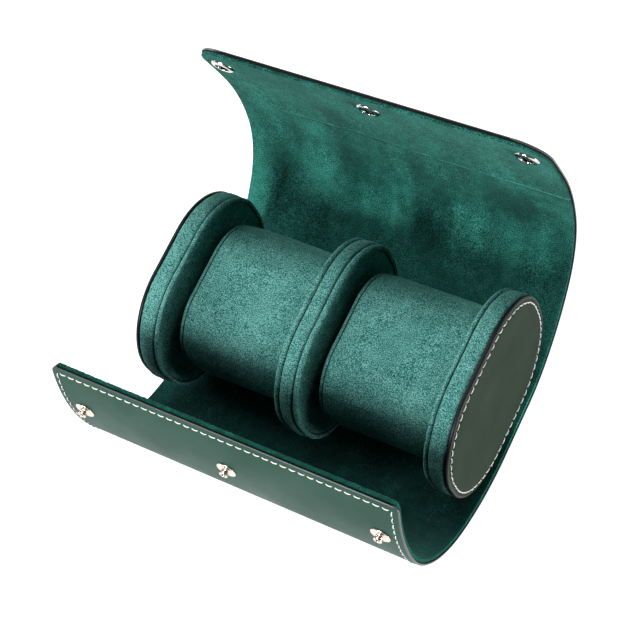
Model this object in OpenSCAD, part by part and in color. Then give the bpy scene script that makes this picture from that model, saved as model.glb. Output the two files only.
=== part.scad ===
// Two-place watch roll: a stiff suede-lined leather wrap with press studs round three oval dividers
// and two removable pillows. Millimetres, +Z up, +X along the roll, the front flap towards -Y.
// The origin is the middle of the flat strip that the open roll rests on.

/* [Wrap] */
// Length of the wrap along the roll
roll_l = 165; // [150:1:200]
// Thickness of the leather outside
leather_t = 1.3; // [1.1:0.1:1.8]
// Thickness of the suede lining
suede_t = 1.2; // [1.1:0.1:1.6]
// Width of the flat strip under the dividers
flat_w = 24; // [22:1:30]
// Radius at the lid's free corners
lid_corner_r = 15; // [4:1:20]
// Radius at the front lip's corners
lip_corner_r = 3; // [1:0.5:8]

/* [Front flap] */
// Inner radius of the front's stretch beside the flat strip
front_base_r = 80; // [65:1:95]
// Turn of the front's stretch beside the flat strip in degrees
front_base_a = 10.4; // [8:0.2:13]
// Inner radius of the front's lower panel
front_lower_r = 88; // [70:1:105]
// Turn of the front's lower panel in degrees
front_lower_a = 15.6; // [13:0.2:18]
// Inner radius of the front's middle panel
front_middle_r = 50; // [42:1:60]
// Turn of the front's middle panel in degrees
front_middle_a = 64.5; // [60:0.5:68]
// Inner radius of the front's upper panel
front_upper_r = 105; // [90:1:140]
// Turn of the front's upper panel in degrees
front_upper_a = 23.6; // [20:0.2:27]

/* [Lid flap] */
// Inner radius of the lid's stretch beside the flat strip
lid_base_r = 62; // [52:1:75]
// Turn of the lid's stretch beside the flat strip in degrees
lid_base_a = 18.5; // [16:0.5:21]
// Inner radius of the lid's lower panel
lid_lower_r = 98; // [80:1:120]
// Turn of the lid's lower panel in degrees
lid_lower_a = 21; // [18:0.5:24]
// Inner radius of the lid's middle panel
lid_middle_r = 52; // [44:1:64]
// Turn of the lid's middle panel in degrees
lid_middle_a = 40; // [36:0.5:44]
// Inner radius of the lid's crown panel
lid_crown_r = 101; // [85:1:130]
// Turn of the lid's crown panel in degrees
lid_crown_a = 19.5; // [17:0.5:22]
// Inner radius of the lid's edge panel
lid_edge_r = 600; // [500:10:800]
// Turn of the lid's edge panel in degrees
lid_edge_a = 3.5; // [3.3:0.1:4.2]

/* [Dividers] */
// Width of an oval divider, front to back
oval_w = 90; // [82:1:92]
// Height of an oval divider
oval_h = 74; // [70:1:78]
// Corner radius of an oval divider
oval_r = 34; // [30:1:35]
// Thickness of a divider along the roll
divider_t = 12; // [10:0.5:14]
// Mean distance of the end dividers from the roll's ends
insert_margin = 5; // [4:0.5:8]
// Shift of the dividers and pillows along the wrap
insert_shift = 3; // [-3:0.5:3.5]
// Thickness of the suede band round a divider
band_t = 1.4; // [1:0.1:2]
// Rise of the band's crown
band_crown = 0.5; // [0.2:0.1:0.8]
// Radius of the rolled edge of a divider
piping_r = 1.1; // [0.8:0.1:1.4]
// Thickness of the leather end disc
disc_t = 2; // [1.6:0.1:2.6]
// Distance of the stitching from the disc's edge
stitch_inset = 3; // [2.4:0.2:5]

/* [Pillows] */
// Width of a pillow, front to back
pillow_w = 70; // [60:1:74]
// Height of a pillow
pillow_h = 52; // [46:1:58]
// Corner radius of a pillow
pillow_r = 24; // [20:1:25.5]
// Radius of the drawn-in ends of a pillow
pillow_end_r = 3; // [2.5:0.5:7]
// Distance of the seams round a pillow from its ends
pillow_seam_in = 2.4; // [1.8:0.2:4]
// Rise of the crown along a pillow
pillow_crown = 0.8; // [0.4:0.1:1.5]
// Thickness of the suede cover
cover_t = 1.2; // [1:0.1:1.6]
// Room at each end of a pillow
pillow_room = 0.3; // [0.2:0.05:0.6]

/* [Press studs] */
// Distance of the outer press studs from the roll's ends
snap_margin = 10.5; // [9:0.5:22]
// Distance of the studs from the front lip
stud_inset = 25; // [20:0.5:30]
// Distance of the sockets from the lid's edge
socket_inset = 14.5; // [12:0.5:20]
// Radius of a stud's flange
stud_flange_r = 5.2; // [4.5:0.1:6]
// Thickness of a stud's flange
stud_flange_t = 0.6; // [0.5:0.1:0.8]
// Radius of a stud's post
post_r = 2; // [1.8:0.1:2.1]
// Height of a stud's post over the leather
post_h = 3; // [2.6:0.1:3.1]
// Radius of a socket
socket_r = 5.5; // [5:0.1:6.5]
// Height of a socket over the suede
socket_h = 1.5; // [1.3:0.1:1.6]
// Radius of a socket's opening
socket_bore_r = 3.3; // [3.2:0.1:3.6]
// Diameter of a socket's spring wire
spring_d = 0.5; // [0.4:0.05:0.6]
// Radius of a cap on the outside of the lid
cap_r = 6; // [5:0.1:7.5]
// Height of a cap
cap_h = 1.2; // [0.8:0.1:1.6]
// Radius of the shanks that go through the leather
shank_r = 1.1; // [0.9:0.1:1.3]
// Thickness of the stiffener boards
board_t = 0.5; // [0.4:0.1:0.6]
// Width of the front stiffener board
front_board_w = 24; // [18:1:30]
// Width of the lid's stiffener board
lid_board_w = 26; // [20:1:28]

/* [Hidden] */
$fn = 96;
panel_fn = 720;       // steps of a full turn on the wide arcs of the wrap's panels
eps = 0.01;
glue = 0.1;           // glue line between pieces that nest
fit = 0.1;            // clearance of a shank or rivet in its hole
board_edge = 4;       // leather left round a stiffener board
rivet_head_r = 3.6;   // flat head of a stud's rivet
rivet_head_t = 0.4;
curl_r = 2;           // curled end of a cap's shank inside a socket
curl_t = 0.3;
groove_depth = 0.9;   // spring groove inside a socket
spring_gap = 0.3;     // space between a stud's post and a spring wire
bend_gap = 0.1;       // space between two panels at a bend
cutter_h = 30;        // height of the tools that cut corners
cutter_over = 1;      // how far those tools reach past the edges
lip_out = 0.03;       // how far the lip's corner arcs stand out past its edges
cap_rim = 0.3;        // straight rim under a cap's dome
cap_flat = 0.02;      // flattening at the top of a cap's dome
stitch_groove_r = 0.45;
stitch_groove_d = 0.25;
pillow_seam_r = 0.5;
wrap_t = suede_t + glue + leather_t;
leather_in = suede_t + glue;
oval_z = wrap_t + oval_h / 2;
// Each flap is a run of arcs, [inner radius, turn]: the fixed stretch first, then its panels outwards
FRONT = [[front_base_r, front_base_a], [front_lower_r, front_lower_a],
  [front_middle_r, front_middle_a], [front_upper_r, front_upper_a]];
LID = [[lid_base_r, lid_base_a], [lid_lower_r, lid_lower_a], [lid_middle_r, lid_middle_a],
  [lid_crown_r, lid_crown_a], [lid_edge_r, lid_edge_a]];
snap_pitch = roll_l / 2 - snap_margin;
bay_l = (roll_l - 3 * divider_t) / 2 - insert_margin;  // space for one watch
bay_x = divider_t + bay_l;
left_x = insert_shift - bay_x - divider_t / 2;
middle_x = insert_shift - divider_t / 2;
right_x = insert_shift + bay_x - divider_t / 2;
pillow_l = bay_l - 2 * pillow_room;
face_t = 2 * piping_r;  // a padded inner face is level with its rolled edge
inner_room = face_t + glue;
core_inset = band_t + glue;
rim_reach = 3;        // how far a swept rim reaches into its solid
lap = 0.5;            // overlap of a swept rim and its solid
leather_green = "#1f4437";
suede_green = "#0d6a57";
disc_green = "#3c4a42";
metal = "#c9c4bd";
foam = "#d9d6cc";
board = "#8a7a62";

// State of a run where arc i starts: [y, z, turn, length]
function start(arcs, i) = i == 0 ? [flat_w / 2, wrap_t, 0, 0] : after(start(arcs, i - 1), arcs[i - 1][0], arcs[i - 1][1]);
function after(p, r, a) = [
  p[0] + r * (sin(p[2] + a) - sin(p[2])),
  p[1] - r * (cos(p[2] + a) - cos(p[2])),
  p[2] + a,
  p[3] + r * a * PI / 180];
function end(arcs) = start(arcs, len(arcs));
// State at a distance back from a run's free end, on its last arc
function from_end(arcs, d) = let (i = len(arcs) - 1, r = arcs[i][0])
  after(start(arcs, i), r, arcs[i][1] - d / r * 180 / PI);

// Turns a drawing in X, Y into the roll's section in Y, Z, with its height along the roll
module section() {
  rotate([90, 0, 90]) children();
}
// A layer of one panel from depth d0 to d1 outside its inner surface, trimmed at its two ends
module layer(arcs, i, d0, d1, trim0 = 0, trim1 = 0, length = roll_l) {
  p = start(arcs, i);
  r = arcs[i][0];
  degrees = 180 / PI / r;
  translate([-length / 2, p[0] - r * sin(p[2]), p[1] + r * cos(p[2])]) section()
    rotate(p[2] + trim0 * degrees - 90)
      rotate_extrude(angle = arcs[i][1] - (trim0 + trim1) * degrees, $fn = panel_fn)
        translate([r + d0, 0]) square([d1 - d0, length]);
}
// Places a drawing on the inner surface near a free end, with Z outwards and Y back towards the strip
module on_surface(arcs, d) {
  p = from_end(arcs, d);
  translate([0, p[0], p[1]]) rotate([180 + p[2], 0, 0]) children();
}
module at_snaps() {
  for (x = [-snap_pitch, 0, snap_pitch]) translate([x, 0, 0]) children();
}
module at_studs() {
  mirror([0, 1, 0]) on_surface(FRONT, stud_inset) at_snaps() children();
}
module at_sockets() {
  on_surface(LID, socket_inset) at_snaps() children();
}
// What is cut away to round both corners at the free end of a flap. With `out`, the arc stands out
// past both edges by that much and meets them at a slight angle.
module corner_cutters(arcs, r, out = 0) {
  on_surface(arcs, 0) for (side = [0, 1]) mirror([side, 0, 0])
    translate([roll_l / 2 - r + out, r - out, -cutter_h / 2]) difference() {
      translate([0, -r - cutter_over, 0]) cube([r + cutter_over, r + cutter_over - eps, cutter_h]);
      translate([0, 0, -cutter_over]) cylinder(r = r, h = cutter_h + 2 * cutter_over);
    }
}
module front_layer(i, d0, d1, trim0 = 0, trim1 = 0, length = roll_l) {
  mirror([0, 1, 0]) layer(FRONT, i, d0, d1, trim0, trim1, length);
}
module bottom_layer(z0, t, d0, d1) {
  translate([-roll_l / 2, -flat_w / 2, z0]) cube([roll_l, flat_w, t]);
  front_layer(0, d0, d1);
  layer(LID, 0, d0, d1);
}
module bottom_leather() color(leather_green) bottom_layer(0, leather_t, leather_in, wrap_t);
module bottom_suede() color(suede_green) bottom_layer(leather_t + glue, suede_t, 0, suede_t);
module front_lower_leather() color(leather_green) front_layer(1, leather_in, wrap_t, bend_gap);
module front_lower_suede() color(suede_green) front_layer(1, 0, suede_t, bend_gap);
module front_middle_leather() color(leather_green) front_layer(2, leather_in, wrap_t, bend_gap);
module front_middle_suede() color(suede_green) front_layer(2, 0, suede_t, bend_gap);

// The board lies in a pocket on the inner side of the leather, centred on the studs
module front_board(room = 0) {
  trim1 = stud_inset - front_board_w / 2 - room;
  panel_l = end(FRONT)[3] - start(FRONT, 3)[3];
  front_layer(3, leather_in - room, leather_in + board_t + room,
    panel_l - trim1 - front_board_w - 2 * room, trim1, roll_l - 2 * (board_edge - room));
}
module front_upper_leather() color(leather_green) difference() {
  front_layer(3, leather_in, wrap_t, bend_gap);
  mirror([0, 1, 0]) corner_cutters(FRONT, lip_corner_r, lip_out);
  front_board(fit);
  at_studs() cylinder(r = shank_r + fit, h = 2 * wrap_t);
}
module front_upper_suede() color(suede_green) difference() {
  front_layer(3, 0, suede_t, bend_gap);
  mirror([0, 1, 0]) corner_cutters(FRONT, lip_corner_r, lip_out);
  at_studs() translate([0, 0, suede_t - rivet_head_t - fit]) cylinder(r = rivet_head_r + fit, h = suede_t);
}
module front_stiffener() color(board) difference() {
  front_board();
  at_studs() cylinder(r = shank_r + fit, h = 2 * wrap_t);
}
module snap_studs() color(metal) at_studs() translate([0, 0, wrap_t + glue]) difference() {
  union() {
    cylinder(r = stud_flange_r, h = stud_flange_t);
    cylinder(r = post_r, h = post_h - glue);
  }
  translate([0, 0, -eps]) cylinder(r = shank_r + fit, h = post_h / 2);
  translate([0, 0, post_h * 0.7]) cylinder(r = post_r * 0.45, h = post_h);
}
module stud_rivets() color(metal) at_studs() union() {
  translate([0, 0, suede_t - rivet_head_t]) cylinder(r = rivet_head_r, h = rivet_head_t - fit);
  translate([0, 0, suede_t - rivet_head_t]) cylinder(r = shank_r, h = rivet_head_t + glue + leather_t + post_h / 2 - fit);
}

module lid_lower_leather() color(leather_green) layer(LID, 1, leather_in, wrap_t, bend_gap);
module lid_lower_suede() color(suede_green) layer(LID, 1, 0, suede_t, bend_gap);
module lid_middle_leather() color(leather_green) layer(LID, 2, leather_in, wrap_t, bend_gap);
module lid_middle_suede() color(suede_green) layer(LID, 2, 0, suede_t, bend_gap);
module lid_crown_leather() color(leather_green) layer(LID, 3, leather_in, wrap_t, bend_gap);
module lid_crown_suede() color(suede_green) layer(LID, 3, 0, suede_t, bend_gap);

// The lid's board reaches from near the edge to just past the sockets
module lid_board(room = 0) {
  panel_l = end(LID)[3] - start(LID, 4)[3];
  layer(LID, 4, leather_in - room, leather_in + board_t + room,
    panel_l - board_edge - lid_board_w - room, board_edge - room, roll_l - 2 * (lid_corner_r + board_edge - room));
}
module lid_edge_leather() color(leather_green) difference() {
  layer(LID, 4, leather_in, wrap_t, bend_gap);
  corner_cutters(LID, lid_corner_r);
  lid_board(fit);
  at_sockets() cylinder(r = shank_r + fit, h = 2 * wrap_t);
}
module lid_edge_suede() color(suede_green) difference() {
  layer(LID, 4, 0, suede_t, bend_gap);
  corner_cutters(LID, lid_corner_r);
  at_sockets() translate([0, 0, -wrap_t]) cylinder(r = socket_bore_r, h = 2 * wrap_t);
}
module lid_stiffener() color(board) difference() {
  lid_board();
  at_sockets() cylinder(r = shank_r + fit, h = 2 * wrap_t);
}
// A ring on the suede with an inner groove that holds two spring wires beside the opening
module snap_sockets() color(metal) at_sockets() translate([0, 0, -socket_h - glue]) difference() {
  rotate_extrude() difference() {
    translate([socket_bore_r, 0]) square([socket_r - socket_bore_r, socket_h]);
    translate([socket_r, 0]) rotate(45) square(socket_h / 2, center = true);
  }
  translate([0, 0, (socket_h - spring_d) / 2 - fit])
    cylinder(r = socket_bore_r + groove_depth, h = spring_d + 2 * fit);
}
spring_x = post_r + spring_gap + spring_d / 2;
spring_l = 2 * sqrt(pow(socket_bore_r + groove_depth - fit, 2) - pow(spring_x + spring_d / 2, 2));
module socket_springs() color(metal) at_sockets() for (side = [-1, 1])
  translate([side * spring_x, 0, -socket_h / 2 - glue]) rotate([90, 0, 0])
    cylinder(d = spring_d, h = spring_l, center = true);
// A domed cap outside, its shank through the leather and its curled end inside the socket
module snap_caps() color(metal) at_sockets() union() {
  rise = cap_h - cap_rim;
  dome_r = (cap_r * cap_r + rise * rise) / (2 * rise);
  translate([0, 0, wrap_t + glue]) rotate_extrude() intersection() {
    square([cap_r, cap_h - cap_flat]);
    translate([0, cap_h - dome_r]) circle(r = dome_r, $fn = 360);
  }
  translate([0, 0, suede_t - curl_t - fit]) cylinder(r = shank_r, h = leather_t + curl_t + fit + 2 * glue + cap_rim);
  translate([0, 0, suede_t - curl_t - fit]) cylinder(r = curl_r, h = curl_t);
}

// Sweeps a profile round an oval: X of the profile points outwards from the outline, Y along the roll
module oval_ring(w, h, r) {
  turns = [[1, 1, 0], [-1, 1, 90], [-1, -1, 180], [1, -1, 270]];
  for (t = turns) translate([t[0] * (w / 2 - r), t[1] * (h / 2 - r), 0]) rotate(t[2])
    rotate_extrude(angle = 90) translate([r, 0]) children();
  sides = [[w / 2 - r, 0, 0, h - 2 * r], [0, h / 2 - r, 90, w - 2 * r],
    [r - w / 2, 0, 180, h - 2 * r], [0, r - h / 2, 270, w - 2 * r]];
  for (t = sides) translate([t[0], t[1], 0]) rotate(t[2]) translate([r, t[3] / 2, 0])
    rotate([90, 0, 0]) linear_extrude(t[3]) children();
}
// A solid of thickness t with the swept profile as its rim: the profile reaches in past `reach`
module oval_solid(w, h, r, t, reach) {
  oval_ring(w, h, r) children();
  linear_extrude(t) oval(w - 2 * reach, h - 2 * reach, r - reach);
}
// A strip with a crowned outer side: width w along the roll, thickness t, crown c
module crowned(w, t, c) {
  crown_r = (w * w / 4 + c * c) / (2 * c);
  intersection() {
    translate([-t, 0]) square([t, w]);
    translate([-crown_r, w / 2]) circle(r = crown_r, $fn = 360);
  }
}
// A slab's rim of thickness t, its outer edge rounded by e on one side
module rounded_edge(t, e) {
  translate([-rim_reach - lap, 0]) square([rim_reach + lap - e, t]);
  translate([-e - eps, 0]) square([e + eps, t - e]);
  translate([-e, t - e]) circle(r = e);
}
module divider_band(v0, width) color(suede_green) translate([0, 0, v0])
  oval_ring(oval_w, oval_h, oval_r) crowned(width, band_t, band_crown);
module divider_piping(v) color(suede_green) translate([0, 0, v])
  oval_ring(oval_w, oval_h, oval_r) translate([-piping_r - band_crown, 0]) circle(r = piping_r);
module divider_core(v0, width) color(board) translate([0, 0, v0]) linear_extrude(width)
  oval(oval_w - 2 * core_inset, oval_h - 2 * core_inset, oval_r - core_inset);
module oval(w, h, r) {
  square([w, h - 2 * r], center = true);
  square([w - 2 * r, h], center = true);
  for (x = [-1, 1], y = [-1, 1]) translate([x * (w / 2 - r), y * (h / 2 - r)]) circle(r = r);
}
// Padded face set inside the rolled edge, its rounded side towards the watch
module divider_face() {
  inset = 2 * piping_r + band_crown + glue;
  w = oval_w - 2 * inset;
  h = oval_h - 2 * inset;
  r = oval_r - inset;
  color(suede_green) oval_solid(w, h, r, face_t, rim_reach) rounded_edge(face_t, face_t / 2);
}
module end_disc() color(disc_green) difference() {
  oval_solid(oval_w - band_crown, oval_h - band_crown, oval_r, disc_t, rim_reach) rounded_edge(disc_t, disc_t / 2);
  oval_ring(oval_w, oval_h, oval_r)
    translate([-stitch_inset, disc_t + stitch_groove_r - stitch_groove_d]) circle(r = stitch_groove_r, $fn = 24);
}
module in_roll(x) {
  translate([x, 0, oval_z]) section() children();
}
// An end divider drawn with its inner side at 0 and its leather disc outside
module end_divider(piece) {
  core_v = inner_room;
  core_l = divider_t - disc_t - inner_room - glue;
  if (piece == "core") divider_core(core_v, core_l);
  if (piece == "band") divider_band(core_v, core_l);
  if (piece == "piping") divider_piping(piping_r);
  if (piece == "face") translate([0, 0, inner_room - glue]) mirror([0, 0, 1]) divider_face();
  if (piece == "disc") translate([0, 0, divider_t - disc_t]) end_disc();
}
module right_divider(piece) {
  in_roll(right_x) end_divider(piece);
}
module left_divider(piece) {
  in_roll(left_x + divider_t) mirror([0, 0, 1]) end_divider(piece);
}
module left_core() left_divider("core");
module left_band() left_divider("band");
module left_piping() left_divider("piping");
module left_face() left_divider("face");
module left_end_disc() left_divider("disc");
module right_core() right_divider("core");
module right_band() right_divider("band");
module right_piping() right_divider("piping");
module right_face() right_divider("face");
module right_end_disc() right_divider("disc");
middle_l = divider_t - 2 * inner_room;
module middle_core() in_roll(middle_x) divider_core(inner_room, middle_l);
module middle_band() in_roll(middle_x) divider_band(inner_room, middle_l);
module middle_left_piping() in_roll(middle_x) divider_piping(piping_r);
module middle_right_piping() in_roll(middle_x) divider_piping(divider_t - piping_r);
module middle_left_face() in_roll(middle_x) translate([0, 0, inner_room - glue])
  mirror([0, 0, 1]) divider_face();
module middle_right_face() in_roll(middle_x) translate([0, 0, divider_t - inner_room + glue]) divider_face();

// Half of a pillow's outline along the roll: drawn-in ends and a low crown
module pillow_profile(inset) {
  l = pillow_l - 2 * inset;
  e = pillow_end_r - inset;
  reach = pillow_end_r + rim_reach - inset;
  crown_r = (l * l / 4 + pillow_crown * pillow_crown) / (2 * pillow_crown);
  intersection() {
    union() {
      translate([-reach - lap, 0]) square([reach + lap - e, l]);
      translate([-e - eps, e]) square([e + eps, l - 2 * e]);
      for (v = [e, l - e]) translate([-e, v]) circle(r = e);
    }
    translate([-reach - lap, 0]) square([reach + lap, l]);
    translate([-crown_r, l / 2]) circle(r = crown_r, $fn = 720);
  }
}
module pillow_solid(inset) {
  translate([0, 0, inset]) oval_solid(pillow_w - 2 * inset, pillow_h - 2 * inset, pillow_r - inset,
    pillow_l - 2 * inset, pillow_end_r + rim_reach - inset) pillow_profile(inset);
}
// The suede cover, with a seam sunk round it near each end
module pillow_cover(x) color(suede_green) in_roll(x + pillow_room) difference() {
  pillow_solid(0);
  pillow_solid(cover_t);
  for (v = [pillow_seam_in, pillow_l - pillow_seam_in]) translate([0, 0, v])
    oval_ring(pillow_w, pillow_h, pillow_r)
      translate([pillow_seam_r / 2 - pillow_crown, 0]) circle(r = pillow_seam_r, $fn = 24);
}
module pillow_core(x) color(foam) in_roll(x + pillow_room) pillow_solid(cover_t + glue);
module left_pillow_cover() pillow_cover(left_x + divider_t);
module left_pillow_core() pillow_core(left_x + divider_t);
module right_pillow_cover() pillow_cover(middle_x + divider_t);
module right_pillow_core() pillow_core(middle_x + divider_t);

bottom_leather();
bottom_suede();
front_lower_leather();
front_lower_suede();
front_middle_leather();
front_middle_suede();
front_upper_leather();
front_upper_suede();
front_stiffener();
snap_studs();
stud_rivets();
lid_lower_leather();
lid_lower_suede();
lid_middle_leather();
lid_middle_suede();
lid_crown_leather();
lid_crown_suede();
lid_edge_leather();
lid_edge_suede();
lid_stiffener();
snap_sockets();
socket_springs();
snap_caps();
left_core();
left_band();
left_piping();
left_face();
left_end_disc();
middle_core();
middle_band();
middle_left_piping();
middle_right_piping();
middle_left_face();
middle_right_face();
right_core();
right_band();
right_piping();
right_face();
right_end_disc();
left_pillow_cover();
left_pillow_core();
right_pillow_cover();
right_pillow_core();
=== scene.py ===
import math

import bmesh
import bpy
import numpy as np
from mathutils import Matrix, Vector


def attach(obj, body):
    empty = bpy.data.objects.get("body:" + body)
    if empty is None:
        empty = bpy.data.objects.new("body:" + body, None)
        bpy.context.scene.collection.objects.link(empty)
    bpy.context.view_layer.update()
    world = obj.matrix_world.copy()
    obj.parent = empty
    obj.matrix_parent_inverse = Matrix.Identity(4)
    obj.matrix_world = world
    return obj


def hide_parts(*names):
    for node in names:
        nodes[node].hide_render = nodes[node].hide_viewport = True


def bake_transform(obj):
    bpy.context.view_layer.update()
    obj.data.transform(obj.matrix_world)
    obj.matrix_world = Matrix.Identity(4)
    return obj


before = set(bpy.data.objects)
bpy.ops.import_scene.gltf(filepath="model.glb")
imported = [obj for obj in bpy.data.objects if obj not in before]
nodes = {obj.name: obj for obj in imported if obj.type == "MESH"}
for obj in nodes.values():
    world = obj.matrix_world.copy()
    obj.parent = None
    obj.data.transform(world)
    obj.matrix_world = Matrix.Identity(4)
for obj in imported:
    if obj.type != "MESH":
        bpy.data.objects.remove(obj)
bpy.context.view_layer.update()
scene = bpy.context.scene
MM = 0.001
QUARTER = math.pi / 2

# x, y and z are the frame's own, with x along the roll. On the wrap, u is the run from the middle of its flat
# strip, negative in front, and d the depth outside the lining's surface. On a divider or a pillow, v is the
# length along the roll from its start, and inset is measured from its outline towards its middle.

# ---------------------------------------------------------------- sizes in mm, as in the part's source
HALF_L = 82.5
FLAT = 12.0
SUEDE_T = 1.2
GLUE = 0.1
LEATHER_T = 1.3
WRAP_T = SUEDE_T + GLUE + LEATHER_T
# Each flap is a run of arcs, (inner radius, turn in degrees), from the flat strip outwards
FRONT = [(80.0, 10.4), (88.0, 15.6), (50.0, 64.5), (105.0, 23.6)]
LID = [(62.0, 18.5), (98.0, 21.0), (52.0, 40.0), (101.0, 19.5), (600.0, 3.5)]
LIP_R = 3.0
LID_R = 15.0
OVAL_W, OVAL_H, OVAL_R = 90.0, 74.0, 34.0
OVAL_Z = WRAP_T + OVAL_H / 2
DIVIDER_T = 12.0
BAY_L = 59.5
SHIFT = 3.0
LEFT_X = SHIFT - 1.5 * DIVIDER_T - BAY_L
MIDDLE_X = SHIFT - 0.5 * DIVIDER_T
RIGHT_X = SHIFT + 0.5 * DIVIDER_T + BAY_L
PILLOW_W, PILLOW_H, PILLOW_R = 70.0, 52.0, 24.0
PILLOW_ROOM = 0.3
PITCH = 72.0
SNAP_XS = (-PITCH, 0, PITCH)
STUD_INSET = 25.0
SOCKET_INSET = 14.5


# ---------------------------------------------------------------- the wrap's run
def arc_starts(arcs):
    """Start of each arc as (y, z, turn, run length), and the end of the last."""
    out = [(FLAT, WRAP_T, 0.0, 0.0)]
    for r, a in arcs:
        y, z, t, s = out[-1]
        t2 = t + math.radians(a)
        y2 = y + r * (math.sin(t2) - math.sin(t))
        z2 = z - r * (math.cos(t2) - math.cos(t))
        out.append((y2, z2, t2, s + r * math.radians(a)))
    return out


FRONT_STARTS, LID_STARTS = arc_starts(FRONT), arc_starts(LID)
FRONT_END, LID_END = -(FLAT + FRONT_STARTS[-1][3]), FLAT + LID_STARTS[-1][3]
CREASE_INSET = 55.0
CREASE_U = LID_END - CREASE_INSET


def place(u, d):
    """Points (y, z) of the wrap at run u and depth d, and its outward normals there."""
    u, d = np.broadcast_arrays(np.asarray(u, float), np.asarray(d, float))
    if u.ndim == 0:
        points, normals = place(u[None], d[None])
        return points[0], normals[0]
    side = np.where(u < 0, -1.0, 1.0)
    s = np.abs(u) - FLAT
    y, z, t = np.abs(u).copy(), np.full(u.shape, WRAP_T), np.zeros(u.shape)
    for arcs, starts, flap in ((FRONT, FRONT_STARTS, u < 0), (LID, LID_STARTS, u >= 0)):
        for (r, _), (y0, z0, t0, s0) in zip(arcs, starts):
            here = flap & (s > s0 - 1e-9)
            turn = t0 + (s[here] - s0) / r
            t[here] = turn
            y[here] = y0 + r * (np.sin(turn) - math.sin(t0))
            z[here] = z0 - r * (np.cos(turn) - math.cos(t0))
    normals = np.stack([side * np.sin(t), -np.cos(t)], -1)
    return np.stack([side * y, z], -1) + normals * d[..., None], normals


def run_at(side, s):
    """Run of the point at length s along a flap's arcs. side is -1 for the front and 1 for the lid."""
    return side * (FLAT + s)


# ---------------------------------------------------------------- materials
def new_material(name):
    """A material, its node tree and its shader."""
    material = bpy.data.materials.new(name)
    material.use_nodes = True
    tree = material.node_tree
    return material, tree, tree.nodes["Principled BSDF"]


def link(tree, source, target):
    tree.links.new(source, target)


def attribute(tree, name):
    """Outputs of one of the mesh's attributes."""
    node = tree.nodes.new("ShaderNodeAttribute")
    node.attribute_name = name
    return node.outputs


def noise(tree, places, scale, detail=2.0, rough=0.5):
    node = tree.nodes.new("ShaderNodeTexNoise")
    node.inputs["Scale"].default_value = scale
    node.inputs["Detail"].default_value = detail
    node.inputs["Roughness"].default_value = rough
    link(tree, places, node.inputs["Vector"])
    return node.outputs["Fac"]


def stretch(tree, places, scale):
    node = tree.nodes.new("ShaderNodeMapping")
    node.inputs["Scale"].default_value = scale
    link(tree, places, node.inputs["Vector"])
    return node.outputs["Vector"]


def span(tree, value, low, high, out_low=0.0, out_high=1.0):
    node = tree.nodes.new("ShaderNodeMapRange")
    node.inputs["From Min"].default_value = low
    node.inputs["From Max"].default_value = high
    node.inputs["To Min"].default_value = out_low
    node.inputs["To Max"].default_value = out_high
    link(tree, value, node.inputs["Value"])
    return node.outputs["Result"]


def math_node(tree, operation, a, b):
    node = tree.nodes.new("ShaderNodeMath")
    node.operation = operation
    for socket, value in zip(node.inputs, (a, b)):
        if isinstance(value, (int, float)):
            socket.default_value = value
        else:
            link(tree, value, socket)
    return node.outputs[0]


COLOUR_A, COLOUR_B, COLOUR_OUT = 6, 7, 2        # a Mix node's sockets for colours, by number


def mix_colour(tree, share, a, b):
    node = tree.nodes.new("ShaderNodeMix")
    node.data_type = "RGBA"
    link(tree, share, node.inputs["Factor"])
    for socket, value in ((node.inputs[COLOUR_A], a), (node.inputs[COLOUR_B], b)):
        if isinstance(value, tuple):
            socket.default_value = (*value, 1.0)
        else:
            link(tree, value, socket)
    return node.outputs[COLOUR_OUT]


def bump(tree, height, strength, distance, normal=None):
    node = tree.nodes.new("ShaderNodeBump")
    node.inputs["Strength"].default_value = strength
    node.inputs["Distance"].default_value = distance
    link(tree, height, node.inputs["Height"])
    if normal is not None:
        link(tree, normal, node.inputs["Normal"])
    return node.outputs["Normal"]


# How fine each grain is, per metre
SMALL_MARKS, SPECKS = 210.0, 2400.0
CLOUDS, PORES, CELLS = 35.0, 2600.0, 900.0
STREAKS = 2.4                                   # the streaks are this much finer than the large patches
ALONG_RUN = (1.0, 0.28, 1.0)                    # and are drawn out along the run
NAP_CUTS = (0.33, 0.3, 0.3, 0.38)               # each layer's values from this to 1 - this are spread out
NAP_DARK, NAP_MID, NAP_LIGHT = 0.15, 0.5, 0.85  # tones that have the nap's three colours
NAP_GLOW = (0.3, 0.8, 0.66, 1.0)
NOISE_LOW, NOISE_HIGH = 0.3, 0.7                # most of a noise lies between these


def suede(name, dark, mid, light, patch, shares):
    """Nap in three tones. shares are those of large patches, of streaks along the run, of small marks and of
    the pile's specks, all added to the mesh's own tone, which holds painted light and shade, where it has
    one."""
    material, tree, shader = new_material(name)
    places = attribute(tree, "tex")["Vector"]
    large = noise(tree, places, patch, detail=3.0, rough=0.55)
    streaks = noise(tree, stretch(tree, places, ALONG_RUN), patch * STREAKS)
    marks = noise(tree, places, SMALL_MARKS, detail=3.0, rough=0.6)
    specks = noise(tree, places, SPECKS, detail=1.0, rough=0.6)
    tone_and_painted_light = attribute(tree, "tone_and_painted_light")["Fac"]
    for layer, share, cut in zip((large, streaks, marks, specks), shares, NAP_CUTS):
        part = math_node(tree, "MULTIPLY", span(tree, layer, cut, 1 - cut), share)
        tone_and_painted_light = math_node(tree, "ADD", part, tone_and_painted_light)
    lower = mix_colour(tree, span(tree, tone_and_painted_light, NAP_DARK, NAP_MID), dark, mid)
    colour = mix_colour(tree, span(tree, tone_and_painted_light, NAP_MID, NAP_LIGHT), lower, light)
    link(tree, colour, shader.inputs["Base Color"])
    shader.inputs["Roughness"].default_value = 0.95
    shader.inputs["Specular IOR Level"].default_value = 0.1
    shader.inputs["Sheen Weight"].default_value = 0.15
    shader.inputs["Sheen Roughness"].default_value = 0.5
    shader.inputs["Sheen Tint"].default_value = NAP_GLOW
    marked = bump(tree, marks, strength=0.25, distance=0.0004)
    link(tree, bump(tree, specks, strength=0.7, distance=0.0002, normal=marked), shader.inputs["Normal"])
    return material


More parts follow.
